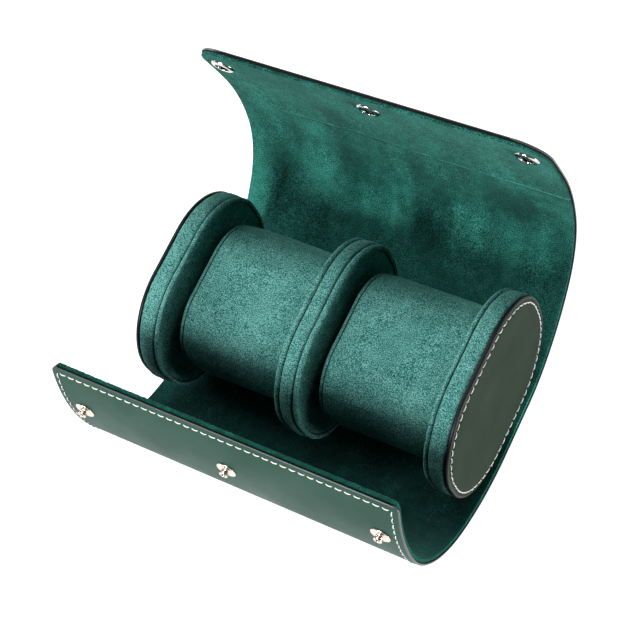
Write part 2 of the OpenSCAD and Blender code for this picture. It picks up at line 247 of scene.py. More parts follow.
def leather(name, base, dark, rough, grain=0.35, specular=0.14):
    """Leather with a cloudy colour, small folds and pores. grain is how strongly they show."""
    material, tree, shader = new_material(name)
    places = attribute(tree, "tex")["Vector"]
    cloud = noise(tree, places, CLOUDS, detail=4.0, rough=0.55)
    pores = noise(tree, places, PORES)
    cells = tree.nodes.new("ShaderNodeTexVoronoi")
    cells.feature = "DISTANCE_TO_EDGE"
    cells.inputs["Scale"].default_value = CELLS
    link(tree, places, cells.inputs["Vector"])
    folds = span(tree, cells.outputs["Distance"], 0.0, 0.25)
    colour = mix_colour(tree, span(tree, cloud, NOISE_LOW, NOISE_HIGH), dark, base)
    link(tree, colour, shader.inputs["Base Color"])
    roughness = span(tree, cloud, NOISE_LOW, NOISE_HIGH, rough + 0.06, rough - 0.05)
    link(tree, roughness, shader.inputs["Roughness"])
    shader.inputs["Specular IOR Level"].default_value = specular
    folded = bump(tree, folds, strength=grain, distance=0.00006)
    pored = bump(tree, pores, strength=grain * 0.8, distance=0.00004, normal=folded)
    link(tree, pored, shader.inputs["Normal"])
    return material


def simple(name, colour, rough, metallic=0.0, grain=1800.0, depth=0.00002, strength=0.3, spread=0.15,
           specular=0.5):
    """A plain surface with a fine grain. spread is how much darker its colour gets in the grain."""
    material, tree, shader = new_material(name)
    fine = noise(tree, attribute(tree, "tex")["Vector"], grain, detail=3.0)
    darker = tuple(c * (1 - spread) for c in colour)
    mixed = mix_colour(tree, span(tree, fine, NOISE_LOW, NOISE_HIGH), darker, colour)
    link(tree, mixed, shader.inputs["Base Color"])
    roughness = span(tree, fine, NOISE_LOW, NOISE_HIGH, rough * 0.85, rough * 1.15)
    link(tree, roughness, shader.inputs["Roughness"])
    shader.inputs["Metallic"].default_value = metallic
    shader.inputs["Specular IOR Level"].default_value = specular
    link(tree, bump(tree, fine, strength, depth), shader.inputs["Normal"])
    return material


LINING = suede("lining_suede", patch=26.0, shares=(0.16, 0.18, 0.14, 0.52),
               dark=(0.001, 0.015, 0.013), mid=(0.004, 0.062, 0.051), light=(0.040, 0.24, 0.192))
RIM = suede("rim_suede", patch=60.0, shares=(0.1, 0.1, 0.3, 0.5),
            dark=(0.003, 0.06, 0.045), mid=(0.012, 0.17, 0.125), light=(0.06, 0.33, 0.26))
CUSHION = suede("cushion_suede", patch=30.0, shares=(0.16, 0.0, 0.16, 0.68),
                dark=(0.009, 0.06, 0.058), mid=(0.044, 0.19, 0.172), light=(0.18, 0.44, 0.40))
# painted shade in the bottom of the seams of dividers and pillows
SEAM_SHADE = simple("seam_shadow", (0.001, 0.008, 0.008), rough=0.9)
OUTER = leather("outer_leather", (0.017, 0.062, 0.045), dark=(0.013, 0.050, 0.036), rough=0.52)
DISC = leather("disc_leather", (0.012, 0.027, 0.015), dark=(0.010, 0.023, 0.012), rough=0.55,
               grain=0.25, specular=0.065)
DISC_EDGE = simple("disc_edge", (0.004, 0.006, 0.006), rough=0.42, grain=700.0, depth=0.00004, specular=0.2)
# The leather's edge paint, lighter grey as a painted highlight on its outer rounding, and its raw edge, near
# black as painted shade in the gap next to the lining
EDGE_PAINT_AND_HIGHLIGHT = simple("edge_paint_and_highlight", (0.055, 0.062, 0.06), rough=0.35, grain=700.0, depth=0.00004)
RAW_EDGE_AND_SHADE = simple("edge_raw_and_shade", (0.002, 0.004, 0.004), rough=0.7, specular=0.1)
THREAD = simple("thread", (0.92, 0.92, 0.86), rough=0.65, grain=3500.0, depth=0.00006, strength=0.4,
                spread=0.08)
NICKEL = simple("nickel", (0.66, 0.57, 0.50), rough=0.22, metallic=1.0, grain=500.0, depth=0.000004,
                strength=0.2, spread=0.05)
SOCKET = simple("socket_nickel", (0.60, 0.60, 0.58), rough=0.14, metallic=1.0, grain=500.0, depth=0.000002,
                strength=0.2, spread=0.05)
STEEL = simple("spring_steel", (0.55, 0.55, 0.55), rough=0.3, metallic=1.0)
# painted shade: near black in the stud's hole and the socket's hollows
SNAP_HOLLOW_SHADE = simple("snap_hollow_shade", (0.03, 0.03, 0.03), rough=0.45, metallic=0.8)
BOARD = simple("fibre_board", (0.35, 0.28, 0.19), rough=0.8, depth=0.0001)
FOAM = simple("foam", (0.62, 0.60, 0.53), rough=0.9, grain=900.0, depth=0.0003)


# ---------------------------------------------------------------- mesh helpers
def points_of(mesh):
    """A mesh's points as one flat array."""
    points = np.zeros(len(mesh.vertices) * 3, np.float32)
    mesh.vertices.foreach_get("co", points)
    return points


def set_places(mesh, places):
    """Gives a mesh the places that its materials' grain is worked out from."""
    values = mesh.attributes.new("tex", "FLOAT_VECTOR", "POINT")
    values.data.foreach_set("vector", np.asarray(places, np.float32).ravel())


def add(name, verts, faces, materials, index=None, places=None):
    """A smooth mesh object. Its grain follows its own points, or places where these are given."""
    mesh = bpy.data.meshes.new(name)
    mesh.from_pydata([tuple(map(float, v)) for v in verts], [], faces)
    for material in materials:
        mesh.materials.append(material)
    if index is not None:
        mesh.polygons.foreach_set("material_index", list(index))
    mesh.polygons.foreach_set("use_smooth", [True] * len(faces))
    set_places(mesh, verts if places is None else places)
    bm = bmesh.new()
    bm.from_mesh(mesh)
    bmesh.ops.recalc_face_normals(bm, faces=bm.faces)
    bm.to_mesh(mesh)
    bm.free()
    mesh.update()
    o = bpy.data.objects.new(name, mesh)
    scene.collection.objects.link(o)
    return o


def tube_faces(faces, start, row, n):
    """Adds the faces between a row and the next of a tube that has n points a row, the first one at start."""
    low, high = start + row * n, start + (row + 1) * n
    for i in range(n):
        j = (i + 1) % n
        faces.append((low + i, low + j, high + j, high + i))


# ---------------------------------------------------------------- the leather and the lining
EDGE_R = 0.4                       # rounding of the sheets' edges
EDGE_STEPS = 4                     # steps of that rounding
CORNER_ROWS = 14                   # rows through a free end's rounded corners
ROW_STEP = 1.6                     # between rows along the run
FINE_ROW_STEP = 0.8                # the same in the lid's edge
COLUMNS = 67
FINE_COLUMNS = 331                 # for the lining's free ends
CUT_ROW = 0.05                     # a row this near a cut keeps its shading flat
CREASE_ROWS = (-2.6, 4.6, 0.2)     # rows across the crease: from, to, step
LINING_INSET = 0.35                # the lining ends this far inside the leather


def run_rows(u0, u1, free, corner, step):
    """Rows from u0 to u1. free is -1 or 1 for a free end at the low or high end, 0 for two cuts."""
    n = max(2, int(round((u1 - u0) / step)))
    us = list(np.linspace(u0, u1, n + 1))
    low, high, fine = CREASE_ROWS
    us += [u for u in np.arange(CREASE_U + low, CREASE_U + high, fine) if u0 + 1 < u < u1 - 1]
    if free != -1:
        us.append(u0 + CUT_ROW)
    if free != 1:
        us.append(u1 - CUT_ROW)
    if free:
        insets = [corner * (1 - math.sin(a)) for a in np.linspace(0, QUARTER, CORNER_ROWS)]
        insets += [EDGE_R * (1 - math.sin(a)) for a in np.linspace(0, QUARTER, EDGE_STEPS + 1)]
        end = u1 if free == 1 else u0
        us = [u for u in us if abs(end - u) > EDGE_R] + [end - free * inset for inset in insets]
    us = sorted(us)
    return np.array([u for i, u in enumerate(us) if i == 0 or u - us[i - 1] > 1e-4])


def sheet_ring(half, low, high, middle, columns):
    """One row of a sheet as a ring of x and a ring of d: its outer side, a rounded edge, its inner side and
    the other rounded edge."""
    arc = np.linspace(0, QUARTER, EDGE_STEPS + 1)[1:]
    flat = half - EDGE_R
    across = np.linspace(-1, 1, columns) * flat
    bulge = EDGE_R * np.sin(arc)
    drop = EDGE_R * (1 - np.cos(arc))
    outer = np.maximum(high - drop, middle)
    inner = np.minimum(low + drop, middle)
    xs = [*across, *(flat + bulge), *(flat + bulge[::-1]),
          *-across, *(-flat - bulge), *(-flat - bulge[::-1])]
    ds = [*np.full(columns, high), *outer, *inner[::-1],
          *np.full(columns, low), *inner, *outer[::-1]]
    return xs, ds


def sheet_faces(from_end, free, columns):
    """Faces of a sheet and their materials: 0 on both sides, 1 on the outer part of its rim, 2 on the rest of
    it. On the leather, 1 is edge paint lightened as a painted highlight and 2 near black as painted shade.
    from_end is each row's distance from the free end."""
    rows, a = len(from_end), EDGE_STEPS
    ring = 2 * columns + 4 * a
    inner_start = columns + 2 * a
    outer_side, inner_side = range(columns - 1), range(inner_start, inner_start + columns - 1)
    outer_rim = {*range(columns - 1, columns + a), *range(ring - a - 1, ring)}
    faces, index = [], []
    for row in range(rows - 1):
        tube_faces(faces, 0, row, ring)
        rounded = min(from_end[row], from_end[row + 1]) < EDGE_R * 0.98
        for i in range(ring):
            if i in outer_side:
                index.append(1 if rounded else 0)
            elif i in inner_side:
                index.append(2 if rounded else 0)
            else:
                index.append(1 if i in outer_rim else 2)
    if free:
        r = (rows - 1) * ring if free == 1 else 0
        top = [r + i for i in range(columns)]
        bottom = [r + inner_start + (columns - 1 - i) for i in range(columns)]
        for i in range(columns - 1):
            faces.append((top[i], top[i + 1], bottom[i + 1], bottom[i]))
        faces.append([r + i for i in range(columns - 1, inner_start + 1)])
        faces.append([r + i for i in range(inner_start + columns - 1, ring)] + [r])
        index += [2] * (columns + 1)
    return faces, index


def sheet_piece(name, ends, depths, free, corner, materials, inset, relief, step=ROW_STEP, columns=COLUMNS):
    """One closed strip of leather or suede between two runs and two depths, with rounded free edges set in by
    inset. relief moves its inner side."""
    (u0, u1), (d0, d1) = ends, depths
    if free:
        u0, u1, corner = u0 + inset * (free == -1), u1 - inset * (free == 1), corner - inset
    us = run_rows(u0, u1, free, corner, step)
    end = u1 if free == 1 else u0
    from_end = np.abs(end - us) if free else np.full(len(us), 1e3)
    half = HALF_L - inset
    round_in = half - corner + np.sqrt(np.maximum(corner ** 2 - (corner - from_end) ** 2, 0))
    halves = np.where(from_end < corner, round_in, half)
    thinner = EDGE_R - np.sqrt(np.maximum(EDGE_R * EDGE_R - (EDGE_R - from_end) ** 2, 0))
    thinner = np.where(from_end < EDGE_R, thinner, 0.0)
    middle = (d0 + d1) / 2
    rings = [sheet_ring(w, d0 + k, d1 - k, middle, columns) for w, k in zip(halves, thinner)]
    xs, ds = np.array([ring[0] for ring in rings]), np.array([ring[1] for ring in rings])
    runs = np.repeat(us[:, None], xs.shape[1], 1)
    if relief is not None:
        share = np.clip((middle - ds) / max(middle - d0, 1e-6), 0, 1)
        ds = ds + relief(xs, runs) * share
    yz, _ = place(runs, ds)
    verts = np.concatenate([xs[..., None], yz], -1).reshape(-1, 3) * MM
    places = np.stack([xs, runs, ds], -1).reshape(-1, 3) * MM
    faces, index = sheet_faces(from_end, free, columns)
    o = add(name, verts, faces, materials, index, places)
    if relief is not None:
        # the lining's tone, with its painted light and shade
        tone_and_painted_light = o.data.attributes.new("tone_and_painted_light", "FLOAT", "POINT")
        tone_and_painted_light.data.foreach_set("value", nap_and_painted_light(xs, runs).ravel().astype(np.float32))
    return o


# Brushed marks on the lid's lining: middle as (x, u), reach along each, and how much lighter they are
MARKS = [(-29, 96, 9, 16, -0.22), (8, 107, 6, 12, -0.16), (58, 100, 12, 10, -0.2), (-68, 65, 8, 12, -0.12),
         (11, 70, 9, 12, -0.22), (-54, 103, 6, 10, -0.12), (-25, 137, 12, 15, -0.14), (-19, 76, 4, 9, 0.24),
         (-45, 81, 10, 12, 0.12), (-46, 112, 6, 5, 0.12), (40, 100, 26, 20, -0.12), (-5, 75, 2, 9, 0.2),
         (16, 78, 3, 7, 0.12), (27, 80, 2.5, 12, 0.12), (-10, 100, 30, 16, -0.06),
         (-42, 98, 20, 20, -0.06), (60, 106, 16, 18, -0.05)]
FRONT_PAINTED_SHADE = -0.25                 # painted shade: the front's lining, inside the tub, is darker
PAST_CREASE_PAINTED_SHADE = -0.03           # painted shade: so is the lid's past its crease, against the light its sheen catches
FOOT_PAINTED_LIGHT, FOOT_U = 0.11, 78       # painted light: the lid's foot, shaded by the pillows, is lighter, up to this run
# painted highlight on the lining's crease and painted shade beside it
CREASE_PAINTED_HIGHLIGHT, CREASE_SHADE = 0.4, -0.14


def crease_line(x):
    """Run of the crease in the lid's lining, which bows outwards left of the middle."""
    return CREASE_U + 2.6 * np.exp(-((x + 10) / 25.0) ** 2) + 0.15 * np.sin(x * 0.21)


def nap_and_painted_light(x, u):
    """Tone of the lining, with painted light and shade. In the lid it has brushed marks and, at the crease, a
    painted highlight with a painted shade beside it, which fade out at the left and are faint right of the
    middle. The lid's foot is painted lighter and its part past the crease a little darker, and the front is
    painted darker, as shade."""
    tone_and_painted_light = sum(a * np.exp(-((x - x0) / rx) ** 2 - ((u - u0) / ru) ** 2) for x0, u0, rx, ru, a in MARKS)
    past = u - crease_line(x)
    crease_highlight_reach = np.clip((x + 60) / 12, 0, 1) * (1 - 0.75 * np.exp(-((x - 45) / 11.0) ** 2))
    # painted highlight on the crease and painted shade beside it
    edge = CREASE_PAINTED_HIGHLIGHT * np.exp(-(past / 0.4) ** 2) + CREASE_SHADE * np.exp(-((past + 1.2) / 0.9) ** 2)
    tone_and_painted_light = tone_and_painted_light + PAST_CREASE_PAINTED_SHADE / (1 + np.exp(-past / 1.5))
    tone_and_painted_light = tone_and_painted_light + FOOT_PAINTED_LIGHT / (1 + np.exp((u - FOOT_U) / 4)) + crease_highlight_reach * edge
    return np.where(u > 0, tone_and_painted_light, FRONT_PAINTED_SHADE * np.clip(-u / 10, 0, 1))


CREASE_STEP, CREASE_RIDGE = 0.13, 0.24
SIDE_PILE = 0.08
LIP_PILE, LIP_PILE_SPREAD = 1.05, 0.6
LID_PILE, LID_PILE_SPREAD = 0.05, 0.1
BORE_R = 4.0                       # hole in the lining under a socket, with a wall that slopes over 1 mm
BORE_DEPTH = 1.0


def lining_relief(x, u):
    """Relief of the lining, inwards negative: a step in the lid at its crease, a slow unevenness, pile that
    stands up along the free edges, and the hole under each socket."""
    from_edge = LID_END - u
    from_side = HALF_L - np.abs(x)
    past = u - crease_line(x)
    step = CREASE_STEP * (1 + np.tanh(past / 0.44)) + CREASE_RIDGE * np.exp(-(past / 0.45) ** 2)
    wave = 0.22 * np.sin(x * 0.071 + 0.4 + 0.03 * u) * np.sin(u * 0.055 + 1.1)
    wave = wave + 0.13 * np.sin(x * 0.023 - u * 0.09 + 2.0)
    fade = np.clip((np.abs(u) - 14) / 20, 0, 1) * np.clip(from_side / 12, 0, 1)
    fade = fade * np.clip(from_edge / 12, 0, 1)
    ends = np.minimum(from_edge, u - FRONT_END)
    uneven = np.mod(np.sin(x * 12.99 + u * 78.23) * 4375.85, 1.0) - 0.5
    rim = np.exp(-((ends - 0.5) / 0.7) ** 2)
    pile = np.where(u < 0, LIP_PILE + LIP_PILE_SPREAD * uneven, LID_PILE + LID_PILE_SPREAD * uneven) * rim
    pile = pile + SIDE_PILE * np.exp(-((from_side - 0.8) / 0.7) ** 2)
    relief = -step * (u > 0) * np.clip((HALF_L - 1 - np.abs(x)) / 3, 0, 1) + wave * fade * 0.7 - pile
    from_socket = np.min([np.hypot(x - x0, from_edge - SOCKET_INSET) for x0 in SNAP_XS], axis=0)
    bore = np.clip(BORE_R + 1 - from_socket, 0, 1)
    return relief * (1 - bore) + BORE_DEPTH * bore


BENDS = {-1: ["base", "front_lower", "front_middle", "front_upper"],
         1: ["base", "lid_lower", "lid_middle", "lid_crown", "lid_edge"]}
STARTS = {-1: FRONT_STARTS, 1: LID_STARTS}
CORNERS = {-1: LIP_R, 1: LID_R}
REACH = 6.0                        # bend_over works out points this far to each side of a joint, and doesn't use them


def mid_panels(side):
    """Length along a flap's arcs to the middle of each, where the sheets are cut."""
    starts = STARTS[side]
    return [(starts[i][3] + starts[i + 1][3]) / 2 for i in range(len(starts) - 1)]


def bend_over(o, side, i):
    """Bakes o's transform into its mesh. The points REACH to each side of joint i of a flap are worked out
    but not used.
    """
    joint = STARTS[side][i][3]
    a, _ = place(run_at(side, joint - REACH), WRAP_T / 2)
    b, _ = place(run_at(side, joint + REACH), WRAP_T / 2)
    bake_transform(o)


def wrap_layer(layer, depths, materials, lid_materials, inset=0.0, relief=None):
    """One sheet of the wrap as pieces cut at mid-panel, each reaching over one joint."""
    ends = [run_at(side, mid_panels(side)[0]) for side in (-1, 1)]
    o = sheet_piece(f"wrap_bottom_{layer}", ends, depths, 0, 1.0, materials, inset, relief)
    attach(o, "base")
    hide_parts(f"bottom_{layer}")
    for side, bodies in BENDS.items():
        cuts = mid_panels(side)
        cuts[-1] = STARTS[side][-1][3]
        for i in range(1, len(bodies)):
            last = i == len(bodies) - 1
            ends = sorted((run_at(side, cuts[i - 1]), run_at(side, cuts[i])))
            o = sheet_piece(f"wrap_{bodies[i]}_{layer}", ends, depths, side if last else 0, CORNERS[side],
                            materials if side < 0 else lid_materials, inset, relief,
                            step=FINE_ROW_STEP if last and side > 0 else ROW_STEP,
                            columns=FINE_COLUMNS if last and relief else COLUMNS)
            bend_over(o, side, i)
            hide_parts(f"{bodies[i]}_{layer}")


wrap_layer("leather", (SUEDE_T + GLUE, WRAP_T), [OUTER, EDGE_PAINT_AND_HIGHLIGHT, RAW_EDGE_AND_SHADE], [OUTER, EDGE_PAINT_AND_HIGHLIGHT, RAW_EDGE_AND_SHADE])
wrap_layer("suede", (0.0, SUEDE_T), [LINING, RIM, RIM], [LINING] * 3, LINING_INSET, lining_relief)


# ---------------------------------------------------------------- ovals: dividers, discs, pillows
def oval_outline(w, h, r, n):
    """n points (y, z) and outward normals, evenly spaced round a rounded rectangle."""
    path = []
    for side_y, side_z, start in ((1, 1, 0), (-1, 1, 90), (-1, -1, 180), (1, -1, 270)):
        y, z = side_y * (w / 2 - r), side_z * (h / 2 - r)
        for a in math.radians(start) + np.linspace(0, QUARTER, 200):
            path.append((y + r * math.cos(a), z + r * math.sin(a), math.cos(a), math.sin(a)))
    path = np.array(path + [path[0]])
    s = np.r_[0, np.cumsum(np.hypot(*np.diff(path[:, :2], axis=0).T))]
    at = np.linspace(0, s[-1], n, endpoint=False)
    out = np.stack([np.interp(at, s, path[:, i]) for i in range(4)], -1)
    out[:, 2:] /= np.linalg.norm(out[:, 2:], axis=1)[:, None]
    return out


OVAL = oval_outline(OVAL_W, OVAL_H, OVAL_R, 300)
MIDDLE = 37.5                      # a divider's profiles close at this inset
SHRINK = 14.0                      # beyond its limit of inset, an outline shrinks to its middle over this


def loft(name, x0, direction, profile, outline, materials, index, relief=None, limit=26.0):
    """Sweeps a profile [(v, inset)] round an outline, with v from x0 in a direction. Beyond limit the outline
    is shrunk instead of inset. Both ends close at the middle. index is the material of each step."""
    n = len(outline)
    rings = []
    for v, inset in profile:
        p = outline[:, :2] - outline[:, 2:] * min(inset, limit)
        if inset > limit:
            p = p * max(0.05, 1 - (inset - limit) / SHRINK)
        x = np.full(n, float(v))
        if relief is not None:
            along, outwards = relief(v, inset, p)
            x = x + along
            p = p + outline[:, 2:] * np.asarray(outwards)[..., None]
        rings.append(np.c_[x0 + direction * x, p[:, 0], p[:, 1] + OVAL_Z])
    verts = np.concatenate(rings) * MM
    steps = len(profile) - 1
    faces, face_index = [], []
    for j in range(steps):
        tube_faces(faces, 0, j, n)
        face_index += [index[j]] * n
    for j, material in ((0, index[0]), (steps, index[-1])):
        faces.append([j * n + i for i in range(n)])
        face_index.append(material)
    return add(name, verts, faces, materials, face_index)


def smooth_profile(points, step=0.35, most=8):
    """Rounds a coarse profile by a spline through its points, with at most so many steps between two."""
    p = np.array(points, float)
    s = np.r_[0, np.cumsum(np.hypot(*np.diff(p, axis=0).T))]
    out = [tuple(p[0])]
    for i in range(len(p) - 1):
        gap = s[i + 1] - s[i]
        n = min(max(1, int(round(gap / step))), most)
        before, after = p[i + 1] - p[max(i - 1, 0)], p[min(i + 2, len(p) - 1)] - p[i]
        t1 = before / (np.linalg.norm(before) + 1e-9) * gap * 0.9
        t2 = after / (np.linalg.norm(after) + 1e-9) * gap * 0.9
        for k in range(1, n + 1):
            a = k / n
            out.append(tuple((2 * a ** 3 - 3 * a ** 2 + 1) * p[i] + (a ** 3 - 2 * a ** 2 + a) * t1
                             + (-2 * a ** 3 + 3 * a ** 2) * p[i + 1] + (a ** 3 - a ** 2) * t2))
    return out


# The crowned part of a divider's face, as [(v, inset)]
CROWN = [(0.0, MIDDLE), (0.0, 30.0), (0.02, 22.0), (0.05, 16.0), (0.1, 12.0), (0.16, 9.0), (0.26, 7.0),
         (0.4, 5.6)]
SEAM_INSET = 1.38                  # a seam's bottom, just outside the core of the solids, which starts at 1.5


def padded_edge(bead):
    """From the middle of a divider's face over its bead of that radius and the seam to the band, as
    [(v, inset, material)]. Material 1 is painted shade in the bottom of a seam."""
    bead_v, bead_inset = 0.05 + bead, 0.36 + bead
    points = [(v, inset, 0) for v, inset in CROWN]
    points += [(0.6, bead_inset + bead + 1.4, 0), (0.8, bead_inset + bead + 0.6, 0),
               (0.9, bead_inset + bead + 0.15, 1)]
    for a in np.radians(np.arange(-42, 160, 14)):
        points.append((bead_v - bead * math.cos(a), bead_inset - bead * math.sin(a), 0))
    points[-1] = (*points[-1][:2], 1)
    v = bead_v + bead
    points += [(v + 0.16, SEAM_INSET, 1), (v + 0.32, bead_inset - 0.3 * bead, 0),
               (v + 0.44, bead_inset - bead + 0.5, 0), (v + 0.7, bead_inset - bead + 0.22, 0),
               (v + 1.15, bead_inset - bead + 0.05, 0), (v + 1.9, 0.26, 0), (v + 2.7, 0.2, 0)]
    return points


def unzip(points):
    return [p[:2] for p in points], [p[2] for p in points]


def mirrored(half, length):
    """A piece's whole profile and its materials, from those of its first half."""
    profile, index = unzip(half)
    profile = profile + [(length - v, inset) for v, inset in profile[::-1][1:]]
    return profile, index[:-1] + index[:-1][::-1] + [0]


def standing_pile(seed):
    """A roughness round a divider's outline that repeats nowhere."""
    w = np.random.default_rng(seed).normal(size=len(OVAL))
    return (w + np.roll(w, 1) + np.roll(w, -1)) / 3


def band_relief(v, inset, p):
    """Slow unevenness of a divider's suede along the roll and outwards, with standing pile on its beads."""
    a = np.arctan2(p[:, 1], p[:, 0])
    k = 0.07 if inset < 3 else 0.03
    rough = 0.05 * standing_pile(int(v * 100) + int(inset * 10)) * (inset < 5)
    along = k * np.sin(5 * a + v) * (inset > 2) + rough
    return along, k * np.sin(7 * a + 0.6 * v) + 0.05 * np.sin(3 * a + 1.0) + rough


MIDDLE_BEAD, END_BEAD = 1.3, 1.0
# An end divider's band past its padded edge, and its outer face under the disc, as [(v, inset, material)]
END_BAND = [(5.8, 0.12, 0), (7.2, 0.14, 0), (8.4, 0.25, 0), (9.2, 0.42, 0), (9.7, 0.7, 0), (9.88, 1.2, 0),
            (9.9, 3.0, 0), (9.9, 20.0, 0), (9.9, MIDDLE, 0)]
# A disc from its hidden side over its edge and the channel for the stitches to its middle, as [(v, inset)]
DISC_PROFILE = [(9.95, MIDDLE), (9.95, 12.0), (9.95, 1.2), (10.02, 0.55), (10.25, 0.34), (10.7, 0.3),
                (11.15, 0.34), (11.5, 0.5), (11.68, 0.8), (11.74, 1.4), (11.72, 2.2), (11.6, 2.75),
                (11.5, 3.0), (11.6, 3.25), (11.82, 3.9), (11.98, 5.5), (12.06, 9.0), (12.1, 20.0),
                (12.1, MIDDLE)]
DISC_RIM = (11.8, 1.3)             # up to this v and inset a disc shows its dark edge
# Name, start and direction outwards of each end divider
END_DIVIDERS = (("right", RIGHT_X, 1), ("left", LEFT_X + DIVIDER_T, -1))


def divider(name, x0, direction, profile, index, *replaced):
    o = loft(f"{name}_divider_suede", x0, direction, profile, OVAL, [CUSHION, SEAM_SHADE], index, band_relief)
    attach(o, "base")
    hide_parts(*replaced)


def end_disc(name, x0, direction):
    profile = smooth_profile(DISC_PROFILE)
    index = [1 if inset < DISC_RIM[1] and v < DISC_RIM[0] else 0 for v, inset in profile]
    o = loft(f"{name}_disc", x0, direction, profile, OVAL, [DISC, DISC_EDGE], index)
    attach(o, "base")
    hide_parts(f"{name}_end_disc")


def dividers():
    """The middle divider, then the two end dividers with their discs."""
    profile, index = mirrored(padded_edge(MIDDLE_BEAD) + [(DIVIDER_T / 2, 0.12, 0)], DIVIDER_T)
    divider("middle", MIDDLE_X, 1, profile, index, "middle_band", "middle_left_piping", "middle_right_piping",
            "middle_left_face", "middle_right_face")
    for side, x0, direction in END_DIVIDERS:
        profile, index = unzip(padded_edge(END_BEAD) + END_BAND)
        divider(side, x0, direction, profile, index, f"{side}_band", f"{side}_piping", f"{side}_face")
        end_disc(side, x0, direction)


dividers()

PILLOW_GAP = 2.8                   # a pillow's left end stands off its divider, as photographed
PILLOW = oval_outline(PILLOW_W, PILLOW_H, PILLOW_R, 220)
PILLOW_L = BAY_L - 2 * PILLOW_ROOM - PILLOW_GAP
PILLOW_LIMIT = 22.0
# A pillow's end from its middle over the turned edge and the seam, as [(v, inset, material)]; material 1 is
# painted shade in the seam
PILLOW_END = [(0.1, 35.0, 0), (0.1, 30.0, 0), (0.08, 25.0, 0), (0.06, 20.0, 0), (0.04, 15.0, 0),
              (0.02, 10.0, 0), (0.0, 5.0, 0), (0.06, 3.4, 0), (0.2, 2.5, 0), (0.45, 1.85, 0), (0.8, 1.45, 0),
              (1.2, 1.25, 0), (1.6, 1.22, 0), (1.95, 1.38, 1), (2.2, 1.75, 1), (2.42, 1.45, 0),
              (2.7, 1.12, 0)]
PILLOW_ROWS = (3.2, 3.9, 4.8, 6.0, 7.5, 9.2, 11.2, 13.5, 16.0, 18.7, 21.4, 24.1, 26.8)
SEWN = 2.45                        # a cover is held from its end up to here, past its seam
FOAM_GAP = 1.5                     # the foam starts this far inside its cover
FOAM_END = [(0.0, 30.0), (0.0, 8.0), (0.6, 5.0), (3.0, 2.6), (6.0, 2.0)]
CLOTH_SCALE = 10.0
CLOTH_FRAMES = 20
PRESSURE = 4.0
MOST_SWELL = 0.8


def pillow_relief(seed):
    def relief(v, inset, p):
        """Shallow gathers towards the seams and a slow unevenness, along the roll and outwards."""
        a = np.arctan2(p[:, 1], p[:, 0])
        near = math.exp(-min(v, PILLOW_L - v) / 6.0)
        gathers = 0.05 * near * np.sin(23 * a + 2.1 * np.sin(3 * a) + seed)
        outwards = gathers + 0.12 * np.sin(2 * a + v * 0.11 + seed) * (1 - near) - 0.1
        return 0.05 * np.sin(9 * a) * (inset > 6), outwards * (inset < 12)
    return relief


def inflate(o, fixed):
    """Lets a cover swell between its sewn rows, by a cloth simulation on a larger copy."""
    rest = points_of(o.data)
    mesh = o.data.copy()
    mesh.vertices.foreach_set("co", rest * CLOTH_SCALE)
    copy = bpy.data.objects.new("swelling", mesh)
    scene.collection.objects.link(copy)
    group = copy.vertex_groups.new(name="sewn")
    group.add([int(i) for i in fixed], 1.0, "REPLACE")
    cloth = copy.modifiers.new("cloth", "CLOTH")
    settings = cloth.settings
    settings.vertex_group_mass = "sewn"
    settings.use_pressure = True
    settings.uniform_pressure_force = PRESSURE
    settings.tension_stiffness = settings.compression_stiffness = 30.0
    settings.bending_stiffness = 2.0
    settings.quality = 5
    settings.effector_weights.gravity = 0.0
    cloth.collision_settings.use_collision = False
    for f in range(1, CLOTH_FRAMES + 1):
        scene.frame_set(f)
    swollen = points_of(copy.evaluated_get(bpy.context.evaluated_depsgraph_get()).data)
    move = (swollen / CLOTH_SCALE - rest).reshape(-1, 3)
    far = np.linalg.norm(move, axis=1, keepdims=True)
    move *= np.minimum(1, MOST_SWELL * MM / np.maximum(far, 1e-9))
    o.data.vertices.foreach_set("co", rest + move.ravel())
    o.data.update()
    bpy.data.objects.remove(copy)
    bpy.data.meshes.remove(mesh)
    scene.frame_set(1)


def pillow(side, x0, seed):
    """A pillow's cover and its foam."""
    start = x0 + PILLOW_ROOM + PILLOW_GAP
    rows = [(v, 0.2 + 0.85 * math.exp(-(v - 3.0) / 5.0), 0) for v in PILLOW_ROWS]
    profile, index = mirrored(PILLOW_END + rows + [(PILLOW_L / 2, 0.18, 0)], PILLOW_L)
    o = loft(f"{side}_pillow", start, 1, profile, PILLOW, [CUSHION, SEAM_SHADE], index, pillow_relief(seed),
             limit=PILLOW_LIMIT)
    n = len(PILLOW)
    sewn = [j for j, (v, _) in enumerate(profile) if min(v, PILLOW_L - v) < SEWN]
    inflate(o, [j * n + i for j in sewn for i in range(n)])
    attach(o, f"{side}_pillow")
    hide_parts(f"{side}_pillow_cover")
    foam = FOAM_END + [(PILLOW_L - 2 * FOAM_GAP - v, inset) for v, inset in FOAM_END[::-1]]
    o = loft(f"{side}_pillow_foam", start + FOAM_GAP, 1, foam, PILLOW, [FOAM], [0] * len(foam),
             limit=PILLOW_LIMIT)
    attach(o, f"{side}_pillow")
    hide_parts(f"{side}_pillow_core")


pillow("left", LEFT_X + DIVIDER_T, 0.0)
pillow("right", MIDDLE_X + DIVIDER_T, 1.7)


# ---------------------------------------------------------------- stitches
STITCH_RINGS, STITCH_AROUND = 9, 8
FLAP_PITCH = 4.15
FLAP_IN = 2.9                      # the flap's stitches run this far inside its edges
FLAP_THREAD = (0.26, 0.3)          # radius of the thread, and how far a stitch bows sideways
FLAP_SHARE = 0.43                  # half a stitch as a share of the pitch
DISC_IN = 3.0
DISC_COUNT = 63
DISC_THREAD = (0.32, 0.0)
DISC_SHARE = 0.42
DISC_STITCH_V = 11.76


